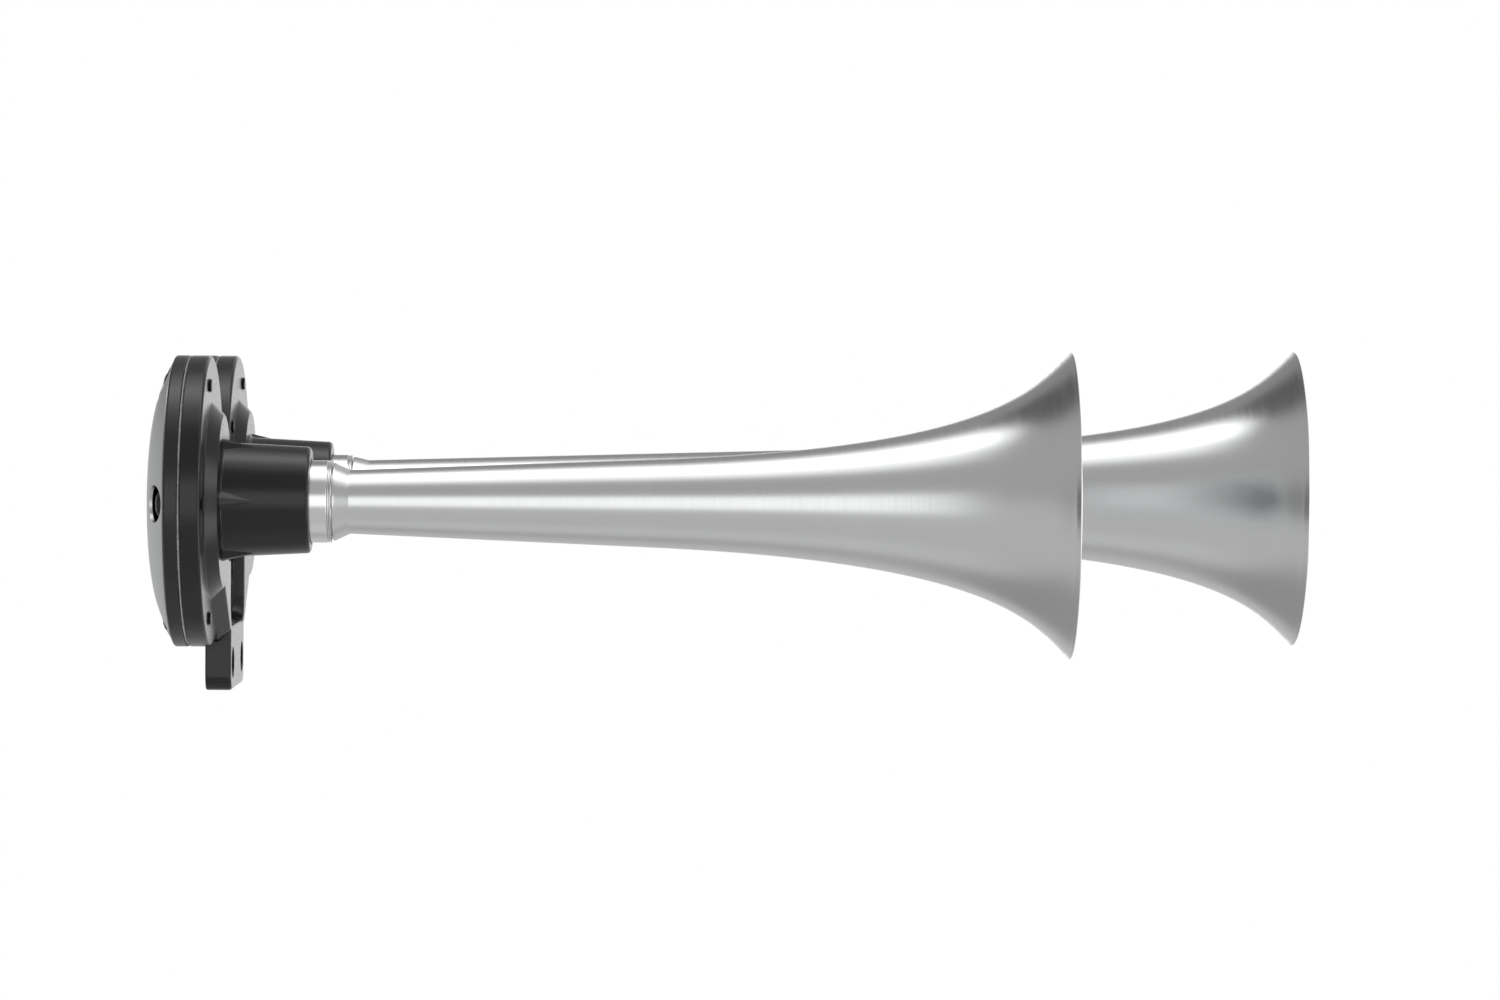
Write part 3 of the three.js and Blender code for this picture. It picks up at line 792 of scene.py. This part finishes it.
def build_back_cover(head):
    origin = head_origin(head)
    outline = rounded([
        (COVER_BORE_R, COVER_REAR_X, 0), (FLANGE_R, COVER_REAR_X, 0.8), (FLANGE_R, COVER_FRONT_X, 0.35),
        (COVER_RECESS_R, COVER_FRONT_X, 0.2), (COVER_RECESS_R, COVER_FLOOR_X, 0),
        (COVER_BORE_R, COVER_FLOOR_X, 0),
    ])
    cover = turned(f"{head}_back_cover_moulded", outline, origin)
    pillars, holes = [], []
    for _, spoke in screw_places(head):
        pillar = rounded([
            (0, COVER_REAR_X + OVERLAP, 0), (PILLAR_R, COVER_REAR_X + OVERLAP, 0),
            (PILLAR_R, PILLAR_REAR_X, 0.5), (0, PILLAR_REAR_X, 0),
        ], closed=False)
        pillars.append(turned("pillar", pillar, origin + spoke, PILLAR_SIDES))
        holes.append(rod("hole", SCREW_HOLE_R, PILLAR_REAR_X - OVERLAP, 0, origin + spoke))
    cover = combine(combine(cover, pillars, "UNION"), holes, "DIFFERENCE")
    return place(cover, f"{head}_back_cover", "cover_black")


def dome_skin(edge_r, apex_x, edge_x):
    """A dome's outline as (radius, x), flat in the middle and steeper towards its edge."""
    points = []
    for step in range(DOME_STEPS + 1):
        share = math.sin(step / DOME_STEPS * math.pi / 2)
        points.append((edge_r * share, apex_x + (edge_x - apex_x) * share**DOME_POWER))
    return points


def build_dome(head):
    origin = head_origin(head)
    rim_x = COVER_REAR_X - SEAT_GAP
    outer = dome_skin(DOME_EDGE_R, DOME_APEX_X, rim_x - 0.35)
    inner = dome_skin(DOME_EDGE_R - DOME_WALL, DOME_APEX_X + DOME_WALL, rim_x)
    dome = turned(f"{head}_dome_pressed", outer + [(DOME_EDGE_R - 0.1, rim_x)] + inner[::-1], origin)
    holes = []
    for _, spoke in screw_places(head, DOME_OPENING_CIRCLE_R):
        holes.append(rod("opening", DOME_OPENING_R, DOME_APEX_X, 0, origin + spoke, BOLT_SIDES))
    return place(combine(dome, holes, "DIFFERENCE"), f"{head}_dome", "satin_cap")


def build_screw(head, number, spoke, rng):
    """A pan-head screw with a cross recess and grooves for its thread."""
    origin = head_origin(head) + spoke
    low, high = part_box(f"{head}_screw_{number}")
    top = low.x / MM - FACE_X
    end = high.x / MM - FACE_X
    seat = PILLAR_REAR_X - SEAT_GAP
    outline = rounded([
        (0, top, 0), (SCREW_CROWN_R, top + 0.08, 0), (SCREW_HEAD_R, top + SCREW_CROWN_DROP, 1.4),
        (SCREW_HEAD_R, seat, 0.25), (SCREW_SHANK_R, seat, 0),
    ], closed=False)
    thread = []
    x = -FLANGE_THICK
    while x < end - THREAD_PITCH:
        thread += [(SCREW_SHANK_R, x), (SCREW_SHANK_R - THREAD_DEPTH, x + THREAD_PITCH / 2)]
        x += THREAD_PITCH
    outline += thread + [(SCREW_SHANK_R, end - 0.3), (SCREW_SHANK_R - 0.4, end), (0, end)]
    screw = turned(f"{head}_screw_{number}_pan", outline, origin, SCREW_SIDES)
    cuts = []
    turn = rng.uniform(0, math.pi / 2)
    for quarter in (0, math.pi / 2):
        bm = bmesh.new()
        bmesh.ops.create_cube(bm, size=1.0)
        shape = Matrix.Diagonal((*(size * MM for size in RECESS_SIZE), 1.0))
        spin = Matrix.Rotation(turn + quarter, 4, "X")
        move = Matrix.Translation((origin + Vector((top, 0, 0))) * MM)
        bmesh.ops.transform(bm, matrix=move @ spin @ shape, verts=bm.verts)
        cuts.append(finish_mesh("recess", bm))
    return place(combine(screw, cuts, "DIFFERENCE"), f"{head}_screw_{number}", "black_steel")


# ---- air inlet ------------------------------------------------------------
def build_inlet():
    """A barbed hose stem with a hexagon that bears on the washer."""
    port = CASTING_ORIGIN + Vector((0, 0, PORT_Z))
    hex_front = PORT_BOSS_REAR_X - WASHER_THICK
    hex_rear = hex_front - HEX_DEPTH
    barbs = []
    for index in range(BARB_COUNT):
        start = hex_rear - BARB_GAP - index * BARB_PITCH
        barbs += [(STEM_R, start, 0.1), (BARB_R, start - 0.1, 0.15), (STEM_R, start - BARB_LENGTH, 0.1)]
    end = hex_rear - BARB_GAP - BARB_COUNT * BARB_PITCH
    outline = rounded([
        (STEM_BORE_R, STEM_FRONT_X, 0.2), (STEM_SPIGOT_R, STEM_FRONT_X, 0.4),
        (STEM_SPIGOT_R, hex_front - OVERLAP, 0), (STEM_R, hex_front - OVERLAP, 0), *barbs,
        (STEM_R, end, 0.3), (STEM_BORE_R, end, 0.2),
    ])
    stem = turned("air_inlet_turned", outline, port, BOLT_SIDES)
    hexagon = []
    for corner in range(6):
        angle = math.pi / 3 * corner
        hexagon.append((HEX_R * math.cos(angle), HEX_R * math.sin(angle), HEX_EDGE))
    levels = [(hex_rear, spread_outline(hexagon, -0.5)), (hex_rear + 0.4, rounded(hexagon))]
    levels += [(hex_front - 0.3, rounded(hexagon)), (hex_front, spread_outline(hexagon, -0.35))]
    nut = lofted("hex", levels, port)
    bore = rod("bore", STEM_BORE_R + CUT_GAP, hex_rear - OVERLAP, hex_front + OVERLAP, port)
    nut = combine(nut, [bore], "DIFFERENCE")
    return place(combine(stem, [nut], "UNION"), "air_inlet", "brass")


# ---- hidden pieces keep their CAD shape -----------------------------------
def finish_hidden_nodes():
    slots = {"inlet_washer": "seal_rubber"}
    for head in HEAD_SIDE:
        slots[f"{head}_diaphragm"] = "spring_steel"
        slots[f"{head}_rear_gasket"] = "gasket"
        slots[f"{head}_nozzle"] = "brass"
        slots[f"{head}_o_ring"] = "seal_rubber"
    for node, slot in slots.items():
        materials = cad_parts[node].data.materials
        materials.clear()
        materials.append(MATERIALS[slot])


# ---- studio ---------------------------------------------------------------
CAMERA_AT = (0.1536, -1.775, 0.1011)  # metres
CAMERA_TURN = (0.87, -1.503, 0.354)  # yaw, pitch and roll in degrees
CAMERA_LENS = 126.72
SENSOR_WIDTH = 36.0
CAMERA_CLIP = (0.05, 60)


def build_camera():
    yaw, pitch, roll = (math.radians(degrees) for degrees in CAMERA_TURN)
    ahead = Vector((math.sin(yaw) * math.cos(pitch), math.cos(yaw) * math.cos(pitch), math.sin(pitch)))
    level = Vector((math.cos(yaw), -math.sin(yaw), 0))
    above = level.cross(ahead)
    right = level * math.cos(roll) + above * math.sin(roll)
    up = above * math.cos(roll) - level * math.sin(roll)
    data = bpy.data.cameras.new("camera")
    data.sensor_width = SENSOR_WIDTH
    data.lens = CAMERA_LENS
    data.clip_start, data.clip_end = CAMERA_CLIP
    camera = bpy.data.objects.new("camera", data)
    turn = Matrix((right, up, -ahead)).transposed().to_4x4()
    camera.matrix_world = Matrix.Translation(CAMERA_AT) @ turn
    bpy.context.scene.collection.objects.link(camera)
    bpy.context.scene.camera = camera


STUDIO_ABOVE = 0.41  # brightness between the lights, above the horn and below it
STUDIO_BELOW = 0.54
STUDIO_HORIZON = (-6, 24)  # the angles between which the one gives way to the other
# Long soft lights that run beside the trumpets. The angles are about their axes, in degrees: 0 is
# the camera's side, 90 is overhead and -90 is the floor. Each is (from, to, edge width, brightness).
STUDIO_STRIPS = (
    (-12, 19, 12, 1.25),  # in front
    (67, 119, 18, 1.20),  # overhead
    (86, 106, 14, 2.60),  # the overhead light's bright middle
    (-92, -66, 16, 0.60),  # the floor's glow
    (-116, -98, 12, 0.46),
)
STRIPS_FADE = (0.68, 0.26)  # how far to the side the strips are gone, and how far they are full
STRIPS_RIGHT_SHARE = 0.72  # to the right they reach further
# Round soft zones: direction, cosine where the zone starts, cosine where it is full, brightness.
STUDIO_ZONES = (
    ((0.00, 1.00, 0.00), 0.55, 0.82, 0.58),  # round the backdrop
    ((-0.34, 0.80, 0.50), 0.84, 0.94, 0.28),  # shade behind and left
    ((-0.57, 0.52, 0.65), 0.93, 0.985, 0.10),
    ((-0.60, 0.48, -0.64), 0.84, 0.97, 0.33),
    ((0.00, 1.00, 0.00), 0.955, 0.992, 1.30),  # the backdrop itself
    ((1.00, 0.00, 0.00), 0.86, 0.98, 2.00),  # the light in front of the bells
)


def studio_brightness(nodes, links):
    """Brightness of the studio in each direction, built up from its lights and zones."""
    direction = nodes.new("ShaderNodeTexCoord").outputs["Generated"]
    split = nodes.new("ShaderNodeSeparateXYZ")
    links.new(direction, split.inputs[0])
    ahead = math_node(nodes, links, "MULTIPLY", split.outputs["Y"], -1.0)
    angle = math_node(nodes, links, "ARCTAN2", split.outputs["Z"], ahead)
    angle = math_node(nodes, links, "DEGREES", angle)
    level = mixed(nodes, links, soft_step(nodes, links, angle, *STUDIO_HORIZON), STUDIO_BELOW, STUDIO_ABOVE)
    left = math_node(nodes, links, "MULTIPLY", split.outputs["X"], -1.0)
    right = math_node(nodes, links, "MULTIPLY", split.outputs["X"], STRIPS_RIGHT_SHARE)
    aside = math_node(nodes, links, "MAXIMUM", left, right)
    in_reach = soft_step(nodes, links, aside, *STRIPS_FADE)
    for start, end, edge, brightness in STUDIO_STRIPS:
        rise = soft_step(nodes, links, angle, start - edge / 2, start + edge / 2)
        fall = soft_step(nodes, links, angle, end + edge / 2, end - edge / 2)
        share = math_node(nodes, links, "MULTIPLY", rise, fall)
        share = math_node(nodes, links, "MULTIPLY", share, in_reach)
        level = mixed(nodes, links, share, level, brightness)
    for towards, start, full, brightness in STUDIO_ZONES:
        dot = nodes.new("ShaderNodeVectorMath")
        dot.operation = "DOT_PRODUCT"
        dot.inputs[1].default_value = Vector(towards).normalized()
        links.new(direction, dot.inputs[0])
        share = soft_step(nodes, links, dot.outputs["Value"], start, full)
        level = mixed(nodes, links, share, level, brightness)
    return level


BOUNCES = 16
OVERHEAD_BOX = ((0.15, -0.1, 1.3), (2.4, 1.4), 0.8)  # place and size in metres, brightness
FLOOR_BOX = ((0.15, 0, 1.6), (2.4, 2.4), 1.6)
FLOOR_GRAIN = 9.0
FLOOR_ROUGHNESS = 0.9
FLOOR_GREYS = ((0.82, 0.82, 0.82), (0.85, 0.85, 0.85))


def build_studio():
    """A white backdrop with soft light all round, brighter overhead and in a strip in front."""
    scene = bpy.context.scene
    scene.view_settings.view_transform = "Standard"
    scene.cycles.max_bounces = BOUNCES
    scene.cycles.glossy_bounces = BOUNCES
    world = bpy.data.worlds.new("studio")
    scene.world = world
    world.use_nodes = True
    nodes, links = world.node_tree.nodes, world.node_tree.links
    nodes.clear()
    level = studio_brightness(nodes, links)
    seen = nodes.new("ShaderNodeLightPath").outputs["Is Camera Ray"]
    background = nodes.new("ShaderNodeBackground")
    output = nodes.new("ShaderNodeOutputWorld")
    links.new(mixed(nodes, links, seen, level, 1.0), background.inputs["Color"])
    links.new(background.outputs["Background"], output.inputs["Surface"])
    softbox("overhead_softbox", *OVERHEAD_BOX)


def softbox(name, at, size, radiance):
    """A rectangular light that faces down and shows in no reflection, given by its face's brightness."""
    data = bpy.data.lights.new(name, "AREA")
    data.shape = "RECTANGLE"
    data.size, data.size_y = size
    data.energy = radiance * math.pi * size[0] * size[1]
    light = bpy.data.objects.new(name, data)
    light.location = at
    light.visible_glossy = False
    bpy.context.scene.collection.objects.link(light)
    return light


def build_floor():
    """A plain pale floor below the horn, with a light of its own that reaches nothing else."""
    bm = bmesh.new()
    bmesh.ops.create_circle(bm, cap_ends=True, segments=SIDES, radius=FLOOR_R)
    floor = finish_mesh("studio_floor", bm)
    floor.location = (cad_bounds[1].x / 2, 0, cad_bounds[0].z - FLOOR_DROP)
    floor.visible_glossy = False
    material, nodes, links = new_material("studio_floor")
    shader = nodes["Principled BSDF"]
    shader.inputs["Roughness"].default_value = FLOOR_ROUGHNESS
    colour = tint(nodes, links, noise(nodes, links, FLOOR_GRAIN), *FLOOR_GREYS)
    links.new(colour, shader.inputs["Base Color"])
    floor.data.materials.append(material)
    lit = bpy.data.collections.new("lit_floor")
    lit.objects.link(floor)
    box = softbox("floor_softbox", *FLOOR_BOX)
    box.light_linking.receiver_collection = lit


# ---- assembly -------------------------------------------------------------
rng = random.Random(SEED)
build_camera()
build_studio()
build_floor()
build_casting()
for head in HEAD_SIDE:
    build_trumpet(head)
    build_ferrule(head)
    build_front_gasket(head, rng)
    build_back_cover(head)
    build_dome(head)
    for number, spoke in screw_places(head):
        build_screw(head, number, spoke, rng)
build_inlet()
finish_hidden_nodes()
